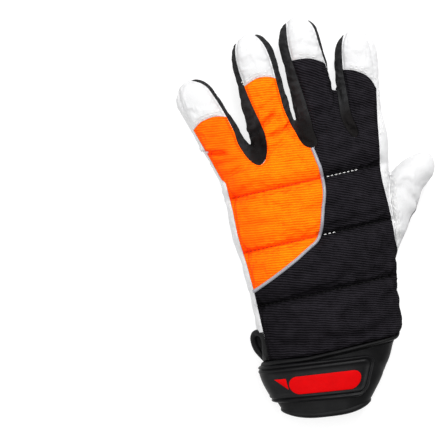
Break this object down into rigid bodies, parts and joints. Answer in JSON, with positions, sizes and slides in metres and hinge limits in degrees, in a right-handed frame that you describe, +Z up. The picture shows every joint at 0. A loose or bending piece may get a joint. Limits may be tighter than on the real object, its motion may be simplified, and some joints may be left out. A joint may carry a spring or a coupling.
{
  "type": "chainsaw glove",
  "caption": "Left-hand protective work glove of leather and quilted high-visibility fabric, lying palm down, with a bound cuff and a moulded closing strap.",
  "frame": {"origin": "on the flat underside of the palm patch, below the middle of the hand, on the surface that the glove lies on", "axes": "+Y from the cuff's mouth to the fingertips, +X to the thumb side, +Z up through the back of the hand"},
  "size_m": [0.1603, 0.2701, 0.039],
  "materials": {
    "white_leather": "soft grained goatskin, matt",
    "grey_knit": "smooth dark grey stretch fabric",
    "orange_fabric": "cross-ribbed high-visibility fabric, quilted",
    "black_fabric": "cross-ribbed black fabric, quilted",
    "reflective": "light grey retroreflective piping, satin",
    "neoprene": "black neoprene with a fine knit face",
    "binding": "black woven binding tape",
    "moulded_rubber": "satin moulded black rubber",
    "red_rubber": "satin red rubber, bare",
    "tan_plate": "tan moulded plate, bare"
  },
  "bodies": {
    "root": {"palm_leather": "white_leather", "little_finger_leather": "white_leather", "ring_finger_leather": "white_leather", "middle_finger_leather": "white_leather", "thumb_leather": "white_leather", "palm_patch": "white_leather", "index_patch": "white_leather", "thumb_side_strip": "grey_knit", "gusset_little_ring": "grey_knit", "gusset_ring_middle": "grey_knit", "gusset_middle_index": "grey_knit", "back_panel_orange": "orange_fabric", "back_panel_black": "black_fabric", "reflective_piping": "reflective", "wrist_cuff": "neoprene", "cuff_binding": "binding", "slit_binding": "binding", "wrist_strap": "moulded_rubber", "strap_inlay": "red_rubber", "strap_mark_back": "red_rubber", "strap_mark_palm": "red_rubber", "badge_plate": "tan_plate"}
  },
  "joints": []
}
